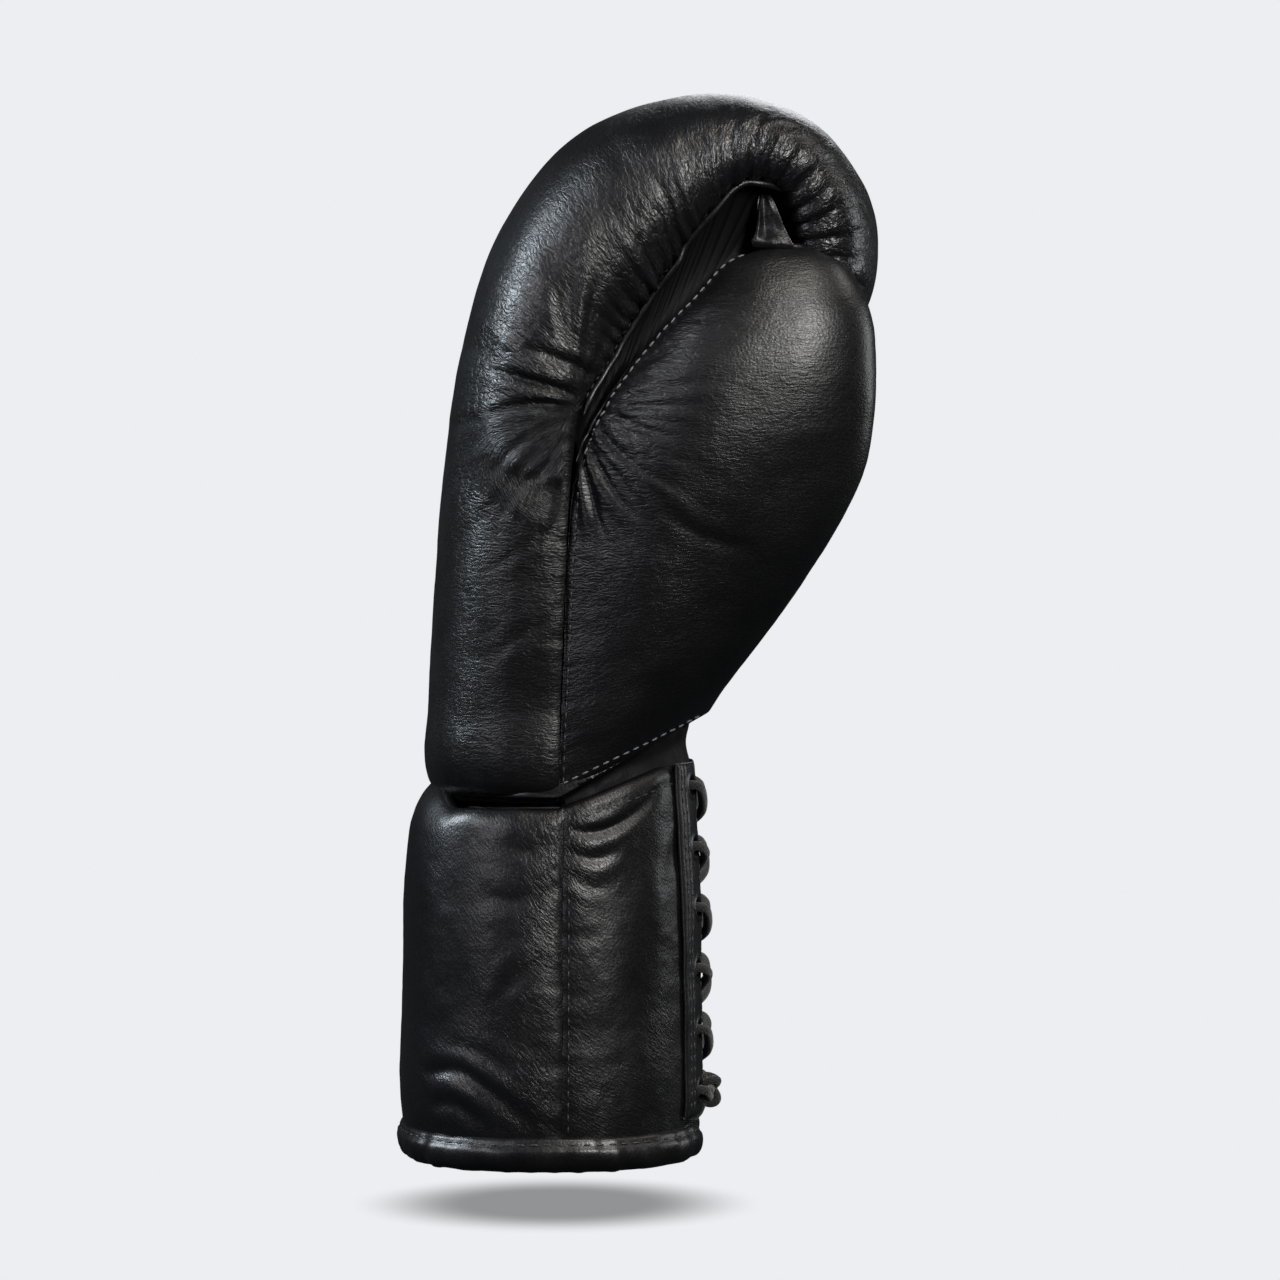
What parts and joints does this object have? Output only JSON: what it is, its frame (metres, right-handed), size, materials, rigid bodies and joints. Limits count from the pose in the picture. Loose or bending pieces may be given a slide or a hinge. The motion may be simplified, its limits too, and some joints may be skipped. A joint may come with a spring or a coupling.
{
  "type": "lace-up boxing glove",
  "caption": "Padded leather boxing glove for the left hand, with a tethered thumb, a grip bar and a laced cuff that stands on its rolled rim.",
  "frame": {"origin": "centre of the bounding box at its base, on the plane that the cuff's rim stands on", "axes": "+Z from the cuff to the knuckles, +X towards the palm, -Y towards the thumb side"},
  "size_m": [0.1438, 0.1391, 0.314],
  "materials": {
    "leather": "black cowhide, semi-gloss, fine grain",
    "foam": "layered closed-cell foam, matt",
    "lining": "satin-weave lining",
    "lace_cord": "waxed cotton braid",
    "lace_tip": "clear-black tip"
  },
  "bodies": {
    "cuff": {"cuff_back_panel": "leather", "cuff_back_foam": "foam", "cuff_panel_thumb_side": "leather", "cuff_panel_outer_side": "leather", "cuff_padding_thumb_side": "foam", "cuff_padding_outer_side": "foam", "lace_facing_thumb_side": "leather", "lace_facing_outer_side": "leather", "lace_tail_thumb_side": "lace_cord", "lace_tail_outer_side": "lace_cord", "lace_tip_thumb_side": "lace_tip", "lace_tip_outer_side": "lace_tip", "tongue": "leather", "cuff_liner": "lining", "cuff_binding": "leather", "lace": "lace_cord", "lace_knot": "lace_cord", "wrist_gusset": "leather", "wrist_crease_strip": "leather"},
    "fist": {"knuckle_shell": "leather", "knuckle_foam_outer": "foam", "knuckle_foam_inner": "foam", "palm_panel": "leather", "palm_padding": "foam", "grip_bar": "foam", "hand_liner": "lining", "heel_cover": "leather", "heel_foam": "foam", "thumb_web": "leather", "thumb_strap": "leather"},
    "thumb": {"thumb_cover": "leather", "thumb_foam": "foam", "thumb_liner": "lining"}
  },
  "joints": [
    {"name": "wrist_flex", "type": "hinge", "parent": "cuff", "child": "fist", "pos_m": [-0.0224, 0, 0.107], "axis": [0, 1, 0], "range_deg": [-4, 8], "stiffness_Nm_per_rad": 16, "deforming": ["wrist_gusset", "wrist_crease_strip"]},
    {"name": "thumb_flex", "type": "hinge", "parent": "fist", "child": "thumb", "pos_m": [0.0236, -0.0656, 0.202], "axis": [1, 0, 0], "range_deg": [0, 4], "stiffness_Nm_per_rad": 1.5, "deforming": ["thumb_web", "thumb_strap"]}
  ]
}
